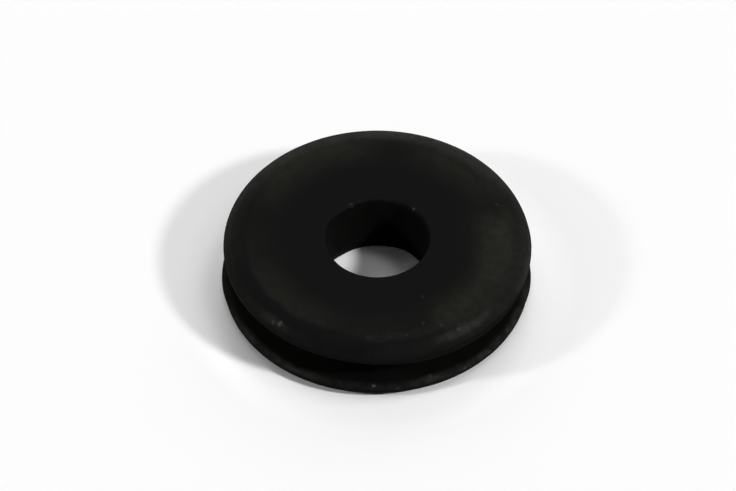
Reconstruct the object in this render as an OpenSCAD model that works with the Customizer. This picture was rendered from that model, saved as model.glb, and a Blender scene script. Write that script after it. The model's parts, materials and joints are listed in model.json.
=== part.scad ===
// Rubber grommet: one moulded ring with two equal flanges and a groove between them.
// The groove grips the edge of a round hole in a panel, and a cable passes through the bore.
// Millimetres, +Z up. The origin is on the bore's axis, at the centre of the lower face.

/* [Flanges] */
// Outside diameter of both flanges
flange_d = 25; // [22:0.5:40]
// Thickness of each flange, from its outer face to the groove
flange_t = 1.4; // [1.4:0.05:4]
// Radial width of the rounded shoulder between an outer face and the rim
shoulder_w = 1.9; // [0.4:0.1:3]
// Height of the same shoulder
shoulder_h = 0.85; // [0.3:0.05:0.85]
// Radius of the rim's edge beside the groove
lip_r = 0.5; // [0.1:0.05:0.5]

/* [Groove] */
// Width of the groove, which is the thickness of the panel it grips
groove_w = 2.8; // [1:0.1:8]
// Diameter of the neck at the bottom of the groove, which is the hole in the panel
neck_d = 16; // [13:0.1:20]
// Radius of the fillet where the neck meets each flange
root_r = 0.3; // [0.1:0.05:0.45]

/* [Bore] */
// Diameter of the bore that the cable passes through
bore_d = 8.4; // [4:0.1:12]
// Radius of the rounded edge at each mouth of the bore
mouth_r = 0.2; // [0.1:0.05:1.1]

/* [Hidden] */
rubber_black = [0.08, 0.08, 0.075];
// Chords in each rounded edge of the section, and sides of the whole revolve
arc_steps = 16;
turn_steps = 180;
flange_r = flange_d / 2;
neck_r = neck_d / 2;
bore_r = bore_d / 2;
half_groove = groove_w / 2;
half_height = half_groove + flange_t;

// Points along an elliptical arc about a centre, from one angle to another
function arc(centre, radius_x, radius_y, from, to) = [
    for (i = [0:arc_steps])
        let (angle = from + (to - from) * i / arc_steps)
        [centre.x + radius_x * cos(angle), centre.y + radius_y * sin(angle)]
];

// The same points below the middle plane, in the opposite order
function mirrored(points) = [
    for (i = [len(points) - 1:-1:0])
        [points[i].x, -points[i].y]
];

// Upper half of the section, from the bore to the neck, above the groove's middle plane
function mouth_edge() =
    arc([bore_r + mouth_r, half_height - mouth_r], mouth_r, mouth_r, 180, 90);
function shoulder() =
    arc([flange_r - shoulder_w, half_height - shoulder_h], shoulder_w, shoulder_h, 90, 0);
function lip() =
    arc([flange_r - lip_r, half_groove + lip_r], lip_r, lip_r, 0, -90);
function root_fillet() =
    arc([neck_r + root_r, half_groove - root_r], root_r, root_r, 90, 180);
function upper_half() =
    concat(mouth_edge(), shoulder(), lip(), root_fillet());

// The whole ring, turned from its section about the bore's axis
module grommet() {
    color(rubber_black)
        translate([0, 0, half_height])
            rotate_extrude($fn = turn_steps)
                polygon(concat(upper_half(), mirrored(upper_half())));
}

grommet();
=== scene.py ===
"""Looks of the rubber grommet: one moulded black ring on a white table, seen from in front and above."""

import json
import math

import bpy
from mathutils import Matrix, Vector, noise


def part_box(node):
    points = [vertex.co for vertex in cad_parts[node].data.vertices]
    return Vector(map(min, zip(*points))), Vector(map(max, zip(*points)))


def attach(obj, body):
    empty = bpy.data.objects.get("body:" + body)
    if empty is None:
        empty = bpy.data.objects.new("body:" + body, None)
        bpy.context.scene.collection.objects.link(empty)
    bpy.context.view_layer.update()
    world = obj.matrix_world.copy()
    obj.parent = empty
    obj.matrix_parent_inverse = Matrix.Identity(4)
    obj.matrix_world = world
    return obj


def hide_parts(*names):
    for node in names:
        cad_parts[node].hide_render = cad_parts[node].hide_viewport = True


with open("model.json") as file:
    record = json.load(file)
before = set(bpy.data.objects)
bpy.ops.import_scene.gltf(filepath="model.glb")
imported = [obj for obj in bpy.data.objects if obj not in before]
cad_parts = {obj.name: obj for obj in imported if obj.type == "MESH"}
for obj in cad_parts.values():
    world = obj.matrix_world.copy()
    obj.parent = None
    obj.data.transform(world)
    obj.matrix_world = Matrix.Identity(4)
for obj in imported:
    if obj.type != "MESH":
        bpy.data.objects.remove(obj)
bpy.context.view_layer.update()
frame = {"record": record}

MM = 0.001
scene = bpy.context.scene


def link(obj):
    """Puts an object in the scene."""
    scene.collection.objects.link(obj)
    return obj


# ================================================================ sizes of the ring, in millimetres
# The outside comes from the CAD node's box, and the bore, neck and groove from the record's mounts
low_corner, high_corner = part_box("grommet")
mounts = {mount["name"]: mount["dims"] for mount in frame["record"]["mounts"]}
FLANGE_RADIUS = (high_corner[0] - low_corner[0]) / 2 / MM
HEIGHT = (high_corner[2] - low_corner[2]) / MM
BORE_RADIUS = mounts["cable_bore"]["r_mm"]
NECK_RADIUS = mounts["panel_groove"]["r_mm"]
GROOVE_WIDTH = mounts["panel_groove"]["length_mm"]
# The bore's straight wall ends where its rounded mouths begin
MOUTH_RADIUS = (HEIGHT - mounts["cable_bore"]["length_mm"]) / 2
SHOULDER_WIDTH = 1.9
SHOULDER_HEIGHT = 0.85
LIP_RADIUS = 0.5
ROOT_RADIUS = 0.3
HALF_GROOVE = GROOVE_WIDTH / 2
HALF_HEIGHT = HEIGHT / 2

# Steps once round the ring, and along each stretch of its section
TURN_STEPS = 480
BORE_STEPS = 5
MOUTH_STEPS = 8
FACE_STEPS = 18
SHOULDER_STEPS = 24
LIP_STEPS = 12
FLANK_STEPS = 10
ROOT_STEPS = 6
NECK_STEPS = 3

# ================================================================ faults of this moulding
# How far it departs from a perfect turned ring, in millimetres. Most faults have the azimuth of their middle
# and a spread to either side of it, both in degrees.

# The upper flange is shifted in x and y against the lower one, and tilted by a slope along each
UPPER_SHIFT = (0.10, -0.07)
UPPER_TILT = (-0.003, 0.012)
# The upper flange waves a little in height, less so within WAVE_FADE of the bore's wall
WAVE_LENGTH = 3.0
WAVE_DEPTH = 0.012
WAVE_FADE = 2.0
WAVE_ORIGIN = Vector((3, 7, 5))
# A thin ragged ridge is left at the joint of the mould, on one side of the upper flange only. A part of it is
# even and a part is ragged, and the ragged part changes more often with more teeth.
FLASH_HEIGHT = 0.05
FLASH_WIDTH = 0.05
FLASH_REACH = 0.1
FLASH_AZIMUTH = 345
FLASH_SPREAD = 40
FLASH_TEETH = 4
FLASH_EVEN = 0.6
FLASH_RAGGED = 0.8
# The upper flange's lip hangs lower on one side, as if the rubber had been pulled out of the mould there
DROOP_DEPTH = 0.40
DROOP_AZIMUTH = 330
DROOP_SPREAD = 85
DROOP_INNER = 9.5
# The bore is a little out of round, its wall pushed in on one side
PINCH_DEPTH = 0.16
PINCH_REACH = 1.5
PINCH_AZIMUTH = 106
PINCH_SPREAD = 52
# Its lower mouth is a little wider on the left
FLARE_DEPTH = 0.11
FLARE_REACH = 1.0
FLARE_AZIMUTH = 168
FLARE_SPREAD = 40
# The lower flange's rim stands out a little where the halves of the mould met: azimuth, spread and depth
SEAM_REACH = 0.6
SEAMS = [(178, 17, 0.12), (3, 18, 0.14)]


# ================================================================ the ring's section
def arc(centre_r, centre_z, radius_r, radius_z, start, end, steps):
    """Points (r, z) along an elliptical arc, with its angles in degrees."""
    angles = [math.radians(start + (end - start) * i / steps) for i in range(steps + 1)]
    return [(centre_r + radius_r * math.cos(a), centre_z + radius_z * math.sin(a)) for a in angles]


def between(start, end, steps):
    """Points that divide a straight line, without its two ends."""
    return [
        tuple(a + (b - a) * i / steps for a, b in zip(start, end))
        for i in range(1, steps)
    ]


def upper_section():
    """The section above the middle of the groove, from the bore's wall to the neck."""
    mouth = arc(
        BORE_RADIUS + MOUTH_RADIUS, HALF_HEIGHT - MOUTH_RADIUS,
        MOUTH_RADIUS, MOUTH_RADIUS, 180, 90, MOUTH_STEPS,
    )
    shoulder = arc(
        FLANGE_RADIUS - SHOULDER_WIDTH, HALF_HEIGHT - SHOULDER_HEIGHT,
        SHOULDER_WIDTH, SHOULDER_HEIGHT, 90, 0, SHOULDER_STEPS,
    )
    lip = arc(
        FLANGE_RADIUS - LIP_RADIUS, HALF_GROOVE + LIP_RADIUS,
        LIP_RADIUS, LIP_RADIUS, 0, -90, LIP_STEPS,
    )
    root = arc(
        NECK_RADIUS + ROOT_RADIUS, HALF_GROOVE - ROOT_RADIUS,
        ROOT_RADIUS, ROOT_RADIUS, 90, 180, ROOT_STEPS,
    )
    bore_wall = between((BORE_RADIUS, 0), mouth[0], BORE_STEPS)
    face = between(mouth[-1], shoulder[0], FACE_STEPS)
    flank = between(lip[-1], root[0], FLANK_STEPS)
    neck_wall = between(root[-1], (NECK_RADIUS, 0), NECK_STEPS)
    return bore_wall + mouth + face + shoulder + lip + flank + root + neck_wall


def whole_section():
    """The closed section, once round from the middle of the bore's wall, with z from the groove's middle."""
    upper = upper_section()
    lower = [(r, -z) for r, z in reversed(upper)]
    return [(BORE_RADIUS, 0)] + upper + [(NECK_RADIUS, 0)] + lower


# ================================================================ the ring
def rising(low, high, value):
    """0 below low, 1 above high, and a soft step between them."""
    t = min(1, max(0, (value - low) / (high - low)))
    return t * t * (3 - 2 * t)


def falling(low, high, value):
    """1 below low, 0 above high, and a soft step between them."""
    return rising(-high, -low, -value)


def sector(angle, azimuth, spread):
    """1 at an azimuth, and softly down to 0 at spread degrees on either side of it."""
    return rising(math.cos(math.radians(spread)), 1, math.cos(angle - math.radians(azimuth)))


def with_flash_and_droop(r, z, angle):
    """A point of the section's upper half, with the flash on the rim and the lip that hangs lower."""
    teeth = noise.noise(Vector((FLASH_TEETH * math.cos(angle), FLASH_TEETH * math.sin(angle), z)))
    ridge = math.exp(-(((z - HALF_GROOVE - LIP_RADIUS) / FLASH_WIDTH) ** 2))
    ridge *= rising(FLANGE_RADIUS - FLASH_REACH, FLANGE_RADIUS, r) * (FLASH_EVEN + FLASH_RAGGED * teeth)
    droop = rising(DROOP_INNER, FLANGE_RADIUS, r) * falling(HALF_GROOVE, HALF_HEIGHT, z)
    z -= DROOP_DEPTH * droop * sector(angle, DROOP_AZIMUTH, DROOP_SPREAD)
    r += FLASH_HEIGHT * ridge * sector(angle, FLASH_AZIMUTH, FLASH_SPREAD)
    return r, z


def with_seams(r, z, angle):
    """A point of the section's lower half, with the bumps where the halves of the mould met."""
    for azimuth, spread, depth in SEAMS:
        outer = rising(FLANGE_RADIUS - SEAM_REACH, FLANGE_RADIUS, r)
        r += depth * outer * sector(angle, azimuth, spread)
    return r, z


def with_bore_faults(r, z, angle):
    """A point of the section, with the bore's wall pushed in on one side and its lower mouth widened."""
    pinch = falling(BORE_RADIUS, BORE_RADIUS + PINCH_REACH, r) * sector(angle, PINCH_AZIMUTH, PINCH_SPREAD)
    r -= PINCH_DEPTH * pinch
    flare = falling(BORE_RADIUS, BORE_RADIUS + FLARE_REACH, r) * falling(-HALF_HEIGHT, HALF_HEIGHT / 2, z)
    r += FLARE_DEPTH * flare * sector(angle, FLARE_AZIMUTH, FLARE_SPREAD)
    return r, z


def moulded(r, z, angle):
    """A point of the section turned to an angle, with the moulding's faults, in metres."""
    r, z = with_flash_and_droop(r, z, angle) if z > 0 else with_seams(r, z, angle)
    r, z = with_bore_faults(r, z, angle)
    x, y = r * math.cos(angle), r * math.sin(angle)
    wave = WAVE_DEPTH * noise.noise(Vector((x, y, z)) / WAVE_LENGTH + WAVE_ORIGIN)
    if z > 0:
        z += abs(wave * rising(BORE_RADIUS, BORE_RADIUS + WAVE_FADE, r))
    upper = rising(-HALF_HEIGHT, HALF_GROOVE, z)
    tilt = UPPER_TILT[0] * x + UPPER_TILT[1] * y
    return (
        (x + UPPER_SHIFT[0] * upper) * MM,
        (y + UPPER_SHIFT[1] * upper) * MM,
        (z + HALF_HEIGHT + tilt * upper) * MM,
    )


def turned_faces(steps, count, first=0, closed=True):
    """The quads between columns of count points each that stand round an axis, from point number first."""
    faces = []
    for step in range(steps):
        here = first + step * count
        there = first + (step + 1) % steps * count
        for i in range(count if closed else count - 1):
            j = (i + 1) % count
            faces.append((here + i, here + j, there + j, there + i))
    return faces


def mesh_from(name, points, faces):
    """A mesh with these points and faces."""
    mesh = bpy.data.meshes.new(name)
    mesh.from_pydata(points, [], faces)
    mesh.update()
    return mesh


def ring_mesh():
    """The section turned about the bore's axis, standing on z = 0."""
    section = whole_section()
    points = []
    for step in range(TURN_STEPS):
        angle = 2 * math.pi * step / TURN_STEPS
        points += [moulded(r, z, angle) for r, z in section]
    mesh = mesh_from("grommet_ring", points, turned_faces(TURN_STEPS, len(section)))
    mesh.polygons.foreach_set("use_smooth", [True] * len(mesh.polygons))
    return mesh


# ================================================================ shader nodes
class Nodes:
    """A short way to write shader nodes: each call adds one or a few and gives the last one's output."""

    def __init__(self, tree):
        self.tree = tree

    def add(self, kind, inputs=(), output=0, **settings):
        """A node with sockets or constants on its inputs."""
        node = self.tree.nodes.new(kind)
        for name, value in settings.items():
            setattr(node, name, value)
        for key, value in dict(inputs).items():
            if isinstance(value, bpy.types.NodeSocket):
                self.tree.links.new(value, node.inputs[key])
            else:
                node.inputs[key].default_value = value
        return node.outputs[output]

    def math(self, operation, a, b=0.0, clamp=False):
        """One sum, product or the like of two numbers."""
        return self.add("ShaderNodeMath", {0: a, 1: b}, operation=operation, use_clamp=clamp)

    def product(self, *factors):
        """All the factors multiplied, from the first to the last."""
        result = factors[0]
        for factor in factors[1:]:
            result = self.math("MULTIPLY", result, factor)
        return result

    def total(self, levels):
        """All the levels in a list added up."""
        result = levels[0]
        for level in levels[1:]:
            result = self.math("ADD", result, level)
        return result

    def ramp(self, value, low, high, start=0.0, end=1.0):
        """A soft step from start at low to end at high."""
        return self.add(
            "ShaderNodeMapRange",
            {"Value": value, "From Min": low, "From Max": high, "To Min": start, "To Max": end},
            interpolation_type="SMOOTHSTEP",
        )

    def vector(self, operation, a, b=(0, 0, 0), output="Vector"):
        """One sum, product or the like of two vectors. A length or distance is on the output Value."""
        return self.add("ShaderNodeVectorMath", {0: a, 1: b}, output=output, operation=operation)

    def scaled(self, vector, factor):
        """A vector times a number."""
        return self.add("ShaderNodeVectorMath", {0: vector, "Scale": factor}, operation="SCALE")

    def place(self):
        """The point that is shaded, in millimetres from where the bore's axis meets the table."""
        return self.scaled(self.add("ShaderNodeTexCoord", output="Object"), 1 / MM)

    def noise(self, place, scale, detail, roughness):
        """Noise from 0 to 1, its scale per millimetre."""
        return self.add(
            "ShaderNodeTexNoise",
            {"Vector": place, "Scale": scale, "Detail": detail, "Roughness": roughness},
        )

    def stirred(self, place, scale, detail, reach):
        """A place that noise moves about, by up to half of reach along each axis."""
        pattern = {"Vector": place, "Scale": scale, "Detail": detail}
        shift = self.add("ShaderNodeTexNoise", pattern, output="Color")
        shift = self.vector("SUBTRACT", shift, (0.5, 0.5, 0.5))
        return self.vector("ADD", place, self.scaled(shift, reach))

    def mix(self, factor, a, b):
        """Colour b over colour a. The Mix node's inputs 6 and 7 and its output 2 are those for colours."""
        return self.add("ShaderNodeMix", {0: factor, 6: a, 7: b}, output=2, data_type="RGBA")


# ================================================================ looks of the rubber
RUBBER_COLOUR = (0.0037, 0.0037, 0.0037)
HAZE_AND_LIFT_COLOUR = (0.034, 0.0355, 0.0255, 1)
SCUFF_AND_HIGHLIGHT_COLOUR = (0.034, 0.0345, 0.0305, 1)
DUST_AND_GLINT_COLOUR = (0.075, 0.075, 0.070, 1)
GLOSS_LEVEL = 0.030
# What haze and scuffs, with the painted light among them, add to the roughness, and what is added as high up
# as the groove and its lips are, with the heights from the groove's middle over which this ends
ROUGHER_IF_HAZY = 0.5
ROUGHER_AT_GROOVE = 0.55
ROUGHER_FADE = (HALF_GROOVE + LIP_RADIUS, HALF_GROOVE + 2 * LIP_RADIUS)
# Noise, each with its scale per millimetre, detail and roughness
CLOUD_NOISE = (1.3, 5, 0.65)
PATCH_NOISE = (1.1, 3, 0.6)
WANDER_NOISE = (0.6, 3, 0.6)
MOTTLE_NOISE = (0.8, 5, 0.65)
DENT_NOISE = (1.1, 4, 0.55)
GRAIN_NOISE = (5.0, 3, 0.6)
# Two values of a noise, and the factors that they stand for: on the haze and scuffs with their painted
# highlights, and on the lips' dust and painted reflection
CLOUD_RAMP = (0.32, 0.68, 0.75, 1.25)
PATCH_RAMP = (0.35, 0.65, 0.5, 1.5)
# Two values of the mottle, with the factors on the rubber's colour and the roughness that they stand for
MOTTLE_ENDS = (0.3, 0.7)
SHADE_RANGE = (0.88, 1.12)
ROUGH_RANGE = (0.46, 0.56)
# Strength, and depth in metres, of the surface's dents and grain
DENTS = {"Strength": 0.6, "Distance": 0.00003}
GRAIN = {"Strength": 0.5, "Distance": 0.000008}
# Noise that moves the ends of the haze's sectors and the outlines of specks: scale, detail and reach
HAZE_STIR = (0.5, 4, 2.0)
SPECK_STIR = (4.0, 3, 0.5)
# How far noise moves the edges of the rings of haze, from its lowest value to its highest
RING_WANDER = 0.7

# Haze and scuffs, with painted highlights and sheen among the shoulder's scuffs, lie in rings on both faces.
# Each ring fades in over the first pair of radii and out over the second, has a level all the way round, and
# has sectors that add to it: azimuth, spread and level.
FACE_HAZE = [
    ((7.4, 10.2), (10.3, 10.9), 0.045, [(224, 32, 0.16), (192, 20, 0.04), (264, 30, 0.03)]),
    ((7.4, 10.2), (10.6, 12.0), 0.0, [(354, 27, 0.36), (317, 26, 0.26), (48, 30, 0.18), (123, 42, 0.23)]),
    ((6.4, 8.4), (9.4, 10.6), 0.0, [(4, 26, 0.06)]),
    ((10.2, 10.6), (11.0, 11.4), 0.0, [(284, 30, 0.12), (18, 24, 0.06)]),
]
# The ring from 11.55 mm is a painted highlight of the key and fill lamps; the first is partly painted sheen
# at the back
SHOULDER_SCUFFS_AND_HIGHLIGHTS = [
    ((10.5, 11.7), (13.0, 14.0), 0.03, [
        (58, 42, 0.54), (114, 46, 0.62), (342, 52, 0.16), (168, 30, 0.12), (290, 26, 0.04),
    ]),
    ((9.8, 10.9), (11.0, 12.0), 0.0, [(95, 60, 0.12)]),
    ((11.6, 12.0), (13.0, 14.0), 0.0, [(152, 34, 0.38), (60, 50, 0.16), (8, 34, 0.12), (207, 46, 0.10)]),
    ((11.55, 11.9), (12.1, 12.4), 0.0, [(307, 18, 0.31), (228, 9, 0.16)]),
    ((12.2, 12.4), (13.0, 14.0), 0.02, [(351, 20, 0.22)]),
]
# Heights from the groove's middle over which haze, scuffs and the shoulder's painted highlights fade in
HAZE_FADE = (HALF_GROOVE + 0.15, HALF_GROOVE + LIP_RADIUS + 0.1)
# Dust on the lower flange's lip beside the groove, and a painted reflection on the upper flange's lip at its
# left and right: the radii over which each fades in, its level all round, its sectors, and the heights from
# the groove's middle over which it fades out
LIP_DUST = (
    (11.8, 12.3), 0.13, [(222, 30, 0.36), (300, 20, 0.28), (334, 26, 0.20)],
    (HALF_GROOVE + 0.2, HALF_GROOVE + LIP_RADIUS),
)
UPPER_LIP_PAINTED_REFLECTION = (
    (12.1, 12.4), 0.0, [(190, 26, 0.40), (348, 14, 0.25)],
    (HALF_GROOVE + 0.45, HALF_GROOVE + 0.75),
)
# The heights over which the lower lip's dust gives way to the upper lip's painted reflection
LIP_CHANGE = (HALF_HEIGHT - 0.5, HALF_HEIGHT + 0.5)
# Dust in the groove: its sectors, the heights from the groove's middle over which it fades out, and the radii
# over which it fades in
GROOVE_DUST = [(205, 60, 0.12), (312, 50, 0.06)]
GROOVE_EDGE = (HALF_GROOVE, HALF_GROOVE + 0.2)
GROOVE_FADE = (7, 8)
# Painted shade: how much darker the rubber's colour is made in the groove
GROOVE_PAINTED_SHADE = 0.25
# How much lighter the bore's wall is made: a painted lift of its shade all over, its sectors low down, and
# the heights over which these fade out
BORE_PAINTED_LIFT = 0.03
LOW_BORE_LIGHTER = [(186, 48, 0.16)]
LOW_BORE_FADE = (0.5, 4.5)
# Specks of dust and painted glints: azimuth in degrees, distance from the axis, height, radius and strength.
# The two on the bore's upper mouth are painted glints of the fill and key lamps, those at 227 and 230 a
# painted glint of the fill, and those from 300.5 to 312 on the shoulder a painted highlight of the key lamp.
SPECKS_AND_GLINTS = [
    (45, 4.35, 5.58, 0.20, 0.62),
    (119.5, 4.12, 5.47, 0.27, 0.62),
    (227, 12.10, 5.20, 0.24, 0.3),
    (230, 11.92, 5.30, 0.28, 0.5),
    (20, 10.42, 5.60, 0.20, 0.27),
    (300, 7.46, 5.60, 0.20, 0.18),
    (299, 10.76, 5.60, 0.24, 0.24),
    (292, 10.00, 5.60, 0.24, 0.18),
    (283, 10.86, 5.59, 0.24, 0.21),
    (276, 10.70, 5.60, 0.24, 0.18),
    (267, 10.82, 5.59, 0.26, 0.18),
    (304, 11.78, 5.35, 0.26, 0.21),
    (300.5, 12.02, 5.22, 0.70, 0.06),
    (306, 11.86, 5.30, 0.85, 0.08),
    (312, 11.95, 5.27, 0.65, 0.05),
    (269, 12.25, 1.33, 0.24, 0.85),
    (291, 12.03, 1.39, 0.22, 0.3),
    (305, 12.45, 1.09, 0.22, 0.24),
    (317, 12.44, 1.13, 0.24, 0.27),
    (329, 12.38, 1.21, 0.22, 0.24),
    (278, 12.47, 1.06, 0.18, 0.18),
    (75, 11.50, 5.52, 0.28, 0.18),
    (65, 11.68, 5.45, 0.28, 0.18),
    (139, 11.70, 5.44, 0.26, 0.15),
]
# The share of a speck's radius that has its full strength
SPECK_CORE = 0.3


def on_ring(azimuth, distance, height):
    """A point on the ring in millimetres, from its azimuth in degrees."""
    a = math.radians(azimuth)
    return (distance * math.cos(a), distance * math.sin(a), height)


class RingNodes(Nodes):
    """Shader nodes for the ring, with what its haze, scuffs, dust and painted light and shade are placed by.
    """

    def __init__(self, tree):
        super().__init__(tree)
        self.point = self.place()
        x, y, self.z = self.add("ShaderNodeSeparateXYZ", {0: self.point}).node.outputs
        self.radius = self.math("SQRT", self.math("ADD", self.product(x, x), self.product(y, y)))
        # Height from the middle of the groove, up or down
        self.height = self.math("ABSOLUTE", self.math("SUBTRACT", self.z, HALF_HEIGHT))
        # Haze follows a radius and a direction that noise bends
        wander = self.math("SUBTRACT", self.noise(self.point, *WANDER_NOISE), 0.5)
        self.bent_radius = self.math("ADD", self.radius, self.product(wander, RING_WANDER))
        flat = self.vector("MULTIPLY", self.stirred(self.point, *HAZE_STIR), (1, 1, 0))
        self.outward = self.vector("NORMALIZE", flat)

    def sectors(self, spots):
        """Soft sectors round the axis, added up."""
        levels = []
        for azimuth, spread, level in spots:
            facing = self.vector("DOT_PRODUCT", self.outward, on_ring(azimuth, 1, 0), output="Value")
            levels.append(self.ramp(facing, math.cos(math.radians(spread)), 1, 0, level))
        return self.total(levels)

    def haze_and_highlight_rings(self, rings):
        """Rings of haze, scuffs and painted highlight round the axis, added up."""
        levels = []
        for fade_in, fade_out, everywhere, spots in rings:
            inner = self.ramp(self.bent_radius, *fade_in)
            outer = self.ramp(self.bent_radius, *fade_out, 1, 0)
            level = self.math("ADD", self.sectors(spots), everywhere)
            levels.append(self.product(self.product(inner, outer), level))
        return self.total(levels)

    def lip_dust_and_reflection(self):
        """Patchy dust on the lower lip and a patchy painted reflection on the upper lip beside the groove,
        added up.
        """
        patches = self.ramp(self.noise(self.point, *PATCH_NOISE), *PATCH_RAMP)
        lower = self.ramp(self.z, *LIP_CHANGE, 1, 0)
        upper = self.math("SUBTRACT", 1.0, lower)
        levels = []
        for dust, flange in ((LIP_DUST, lower), (UPPER_LIP_PAINTED_REFLECTION, upper)):
            fade_in, everywhere, spots, fade_out = dust
            inner = self.ramp(self.bent_radius, *fade_in)
            level = self.math("ADD", self.sectors(spots), everywhere)
            edge = self.ramp(self.height, *fade_out, 1, 0)
            levels.append(self.product(inner, level, patches, self.product(edge, flange)))
        return self.total(levels)

    def groove_mask(self):
        """1 in the groove and 0 outside it."""
        between_flanks = self.ramp(self.height, *GROOVE_EDGE, 1, 0)
        return self.product(between_flanks, self.ramp(self.radius, *GROOVE_FADE))

    def bore_lightening(self):
        """The bore's wall made lighter: a painted lift of its shade, more so low down on one side."""
        low = self.product(self.sectors(LOW_BORE_LIGHTER), self.ramp(self.z, *LOW_BORE_FADE, 1, 0))
        wall = self.ramp(self.radius, BORE_RADIUS, BORE_RADIUS + MOUTH_RADIUS, 1, 0)
        return self.product(wall, self.math("ADD", low, BORE_PAINTED_LIFT))

    def specks_and_glints(self):
        """Specks of dust and painted glints of the lamps, each with a ragged outline."""
        ragged = self.stirred(self.point, *SPECK_STIR)
        levels = []
        for azimuth, distance, height, radius, strength in SPECKS_AND_GLINTS:
            away = self.vector("DISTANCE", ragged, on_ring(azimuth, distance, height), output="Value")
            levels.append(self.ramp(away, radius * SPECK_CORE, radius, strength, 0))
        return self.math("MINIMUM", self.total(levels), 1.0)


def rubber_material():
    """Matt black rubber with a warm grey haze on its faces, scuffs on the shoulder, dust, and painted light
    and shade.
    """
    material = bpy.data.materials.new("rubber")
    material.use_nodes = True
    n = RingNodes(material.node_tree)
    clouds = n.product(n.ramp(n.noise(n.point, *CLOUD_NOISE), *CLOUD_RAMP), n.ramp(n.height, *HAZE_FADE))
    in_groove = n.groove_mask()
    haze_and_lift = n.math("MULTIPLY", n.haze_and_highlight_rings(FACE_HAZE), clouds, clamp=True)
    haze_and_lift = n.math("ADD", haze_and_lift, n.product(in_groove, n.sectors(GROOVE_DUST)), clamp=True)
    # The bore's wall gets a painted lift of its shade, in the haze's colour
    haze_and_lift = n.math("ADD", haze_and_lift, n.bore_lightening(), clamp=True)
    # The shoulder's scuffs carry a painted highlight and sheen, and the upper lip a painted reflection
    scuffs_and_highlights = n.math("ADD", n.product(n.haze_and_highlight_rings(SHOULDER_SCUFFS_AND_HIGHLIGHTS), clouds), n.lip_dust_and_reflection(), clamp=True)

    mottle = n.noise(n.point, *MOTTLE_NOISE)
    # Painted shade: the rubber's colour is darker in the groove
    darker = n.math("SUBTRACT", 1.0, n.product(in_groove, GROOVE_PAINTED_SHADE))
    shade = n.product(n.ramp(mottle, *MOTTLE_ENDS, *SHADE_RANGE), darker)
    colour = n.mix(haze_and_lift, n.scaled(RUBBER_COLOUR, shade), HAZE_AND_LIFT_COLOUR)
    colour = n.mix(scuffs_and_highlights, colour, SCUFF_AND_HIGHLIGHT_COLOUR)
    # Some specks are painted glints and a painted highlight of the lamps
    colour = n.mix(n.specks_and_glints(), colour, DUST_AND_GLINT_COLOUR)
    roughness = n.ramp(mottle, *MOTTLE_ENDS, *ROUGH_RANGE)
    roughness = n.math("ADD", roughness, n.product(n.math("ADD", haze_and_lift, scuffs_and_highlights), ROUGHER_IF_HAZY))
    roughness = n.math("ADD", roughness, n.ramp(n.height, *ROUGHER_FADE, ROUGHER_AT_GROOVE, 0), clamp=True)
    dents = n.add("ShaderNodeBump", {"Height": n.noise(n.point, *DENT_NOISE), **DENTS})
    surface = n.add("ShaderNodeBump", {"Height": n.noise(n.point, *GRAIN_NOISE), "Normal": dents, **GRAIN})

    shader = n.tree.nodes["Principled BSDF"]
    shader.inputs["Specular IOR Level"].default_value = GLOSS_LEVEL
    n.tree.links.new(colour, shader.inputs["Base Color"])
    n.tree.links.new(roughness, shader.inputs["Roughness"])
    n.tree.links.new(surface, shader.inputs["Normal"])
    return material


ring = link(bpy.data.objects.new("grommet_ring", ring_mesh()))
ring.data.materials.append(rubber_material())
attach(ring, "root")
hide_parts("grommet")

# ================================================================ table and backdrop, in metres
TABLE_RADIUS = 1.0
EDGE_RISE = 0.12
TABLE_STEPS = 72
EDGE_STEPS = 8
PAPER_WHITE = (0.95, 0.95, 0.95, 1)
# What the camera sees of the paper: its brightness through the bore, the steps that this takes outwards, over
# pairs of radii in millimetres, and the step up that its glow takes where its brightness steps down. Round
# the ring's foot, from 6 to about 13 mm, the brightness is lower: a painted contact shadow.
BRIGHTNESS_IN_BORE = 1.2
BRIGHTNESS_STEPS = [((5.0, 6.0), -0.25), ((12.1, 13.1), 0.19), ((13.0, 17.0), -0.573)]
GLOW_STEP = ((13.0, 17.0), 0.406)


def table_mesh():
    """A flat round sheet of paper whose edge curves up all round, as a backdrop for low views."""
    profile = arc(TABLE_RADIUS, EDGE_RISE, EDGE_RISE, EDGE_RISE, -90, 0, EDGE_STEPS)
    count = len(profile)
    points = [(0, 0, 0)]
    faces = turned_faces(TABLE_STEPS, count, first=1, closed=False)
    for step in range(TABLE_STEPS):
        angle = 2 * math.pi * step / TABLE_STEPS
        points += [(r * math.cos(angle), r * math.sin(angle), z) for r, z in profile]
        faces.append((0, 1 + step * count, 1 + (step + 1) % TABLE_STEPS * count))
    return mesh_from("table", points, faces)


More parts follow.
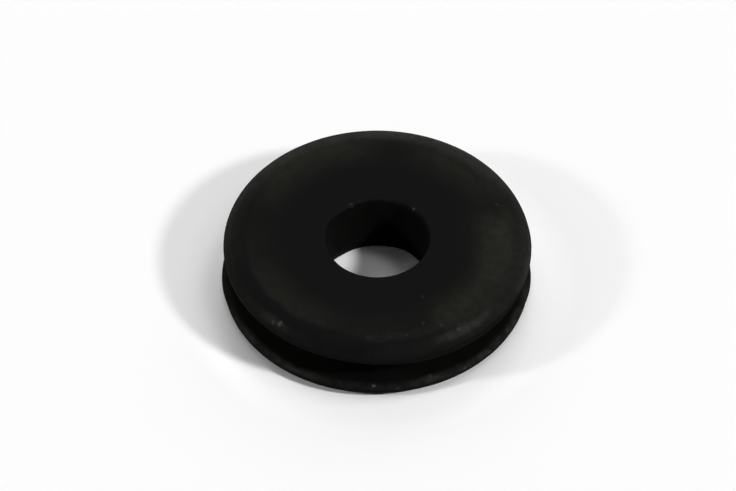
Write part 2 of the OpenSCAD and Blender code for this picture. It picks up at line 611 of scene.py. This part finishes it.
def paper_material():
    """White paper. Seen or mirrored, it is lifted towards white as if over-lit, with a painted contact shadow
    round the ring's foot, but its light stays plain.
    """
    material = bpy.data.materials.new("paper")
    material.use_nodes = True
    material.node_tree.nodes.clear()
    n = Nodes(material.node_tree)
    distance = n.vector("LENGTH", n.place(), output="Value")
    brightness = BRIGHTNESS_IN_BORE
    for radii, change in BRIGHTNESS_STEPS:
        brightness = n.math("ADD", n.ramp(distance, *radii, 0, change), brightness)
    grey = n.add("ShaderNodeCombineColor", {0: brightness, 1: brightness, 2: brightness})
    radii, glow_away = GLOW_STEP
    glow = n.add("ShaderNodeEmission", {"Strength": n.ramp(distance, *radii, 0, glow_away)})
    shown = n.add("ShaderNodeBsdfDiffuse", {"Color": grey})
    lifted = n.add("ShaderNodeAddShader", {0: shown, 1: glow})
    plain = n.add("ShaderNodeBsdfDiffuse", {"Color": PAPER_WHITE})
    rays = n.add("ShaderNodeLightPath").node.outputs
    seen = n.math("MAXIMUM", rays["Is Camera Ray"], rays["Is Glossy Ray"])
    seen = n.math("MAXIMUM", seen, rays["Is Transmission Ray"])
    surface = n.add("ShaderNodeMixShader", {0: seen, 1: plain, 2: lifted})
    output = n.tree.nodes.new("ShaderNodeOutputMaterial")
    n.tree.links.new(surface, output.inputs["Surface"])
    return material


table = link(bpy.data.objects.new("table", table_mesh()))
table.data.materials.append(paper_material())

# ================================================================ light
SKY_STRENGTH = 0.02


def studio_world():
    """A nearly dark room round the lamps."""
    world = bpy.data.worlds.new("studio")
    world.use_nodes = True
    background = world.node_tree.nodes["Background"]
    background.inputs["Color"].default_value = (1, 1, 1, 1)
    background.inputs["Strength"].default_value = SKY_STRENGTH
    return world


scene.world = studio_world()


def lamp(name, azimuth, elevation, share, width):
    """A round lamp far off, with its angles in degrees. share is how bright it makes a white table."""
    data = bpy.data.lights.new(name, "SUN")
    a, e = math.radians(azimuth), math.radians(elevation)
    data.energy = share * math.pi / math.sin(e)
    data.angle = math.radians(width)
    towards = Vector((math.cos(a) * math.cos(e), math.sin(a) * math.cos(e), math.sin(e)))
    link(bpy.data.objects.new(name, data)).rotation_euler = towards.to_track_quat("Z", "Y").to_euler()


lamp("key", -26.5, 38.7, 0.452, 7)
lamp("fill", 196, 29.4, 0.157, 6)
lamp("overhead", 16, 68.5, 0.078, 14)
lamp("top_back", 109, 66, 0.034, 36)
lamp("front_top", 275, 73, 0.014, 12)
lamp("back_high", 84, 55, 0.075, 16)
lamp("back_low", 96, 17, 0.020, 26)
lamp("left", 188, 40, 0.018, 8)
lamp("back_right", 60, 29, 0.055, 33)
lamp("back_left", 119, 42, 0.086, 40)

# ================================================================ camera
# Its distance and aim are in flange radii, its angles in degrees, its sensor in millimetres and the nearest
# that it sees in metres
CAMERA_ELEVATION = 47.98
CAMERA_DISTANCE = 32.767
CAMERA_AIM = Vector((-0.0532, 0.333, 0))
CAMERA_ROLL = -0.22
FOCAL_PIXELS = 5000
WIDTH_PIXELS = 736
SENSOR = 36
CLIP_START = 0.01


def photo_camera():
    """The camera of the photograph."""
    data = bpy.data.cameras.new("camera")
    data.sensor_width = SENSOR
    data.lens = FOCAL_PIXELS / WIDTH_PIXELS * SENSOR
    data.clip_start = CLIP_START
    e, roll = math.radians(CAMERA_ELEVATION), math.radians(CAMERA_ROLL)
    eye = CAMERA_DISTANCE * FLANGE_RADIUS * MM * Vector((0, -math.cos(e), math.sin(e)))
    ahead = (CAMERA_AIM * FLANGE_RADIUS * MM - eye).normalized()
    level_right = ahead.cross(Vector((0, 0, 1))).normalized()
    level_up = level_right.cross(ahead)
    right = math.cos(roll) * level_right + math.sin(roll) * level_up
    up = math.cos(roll) * level_up - math.sin(roll) * level_right
    camera = link(bpy.data.objects.new("camera", data))
    turned = Matrix((right, up, -ahead)).transposed().to_4x4()
    camera.matrix_world = Matrix.Translation(eye) @ turned
    return camera


scene.camera = photo_camera()
scene.view_settings.view_transform = "Standard"
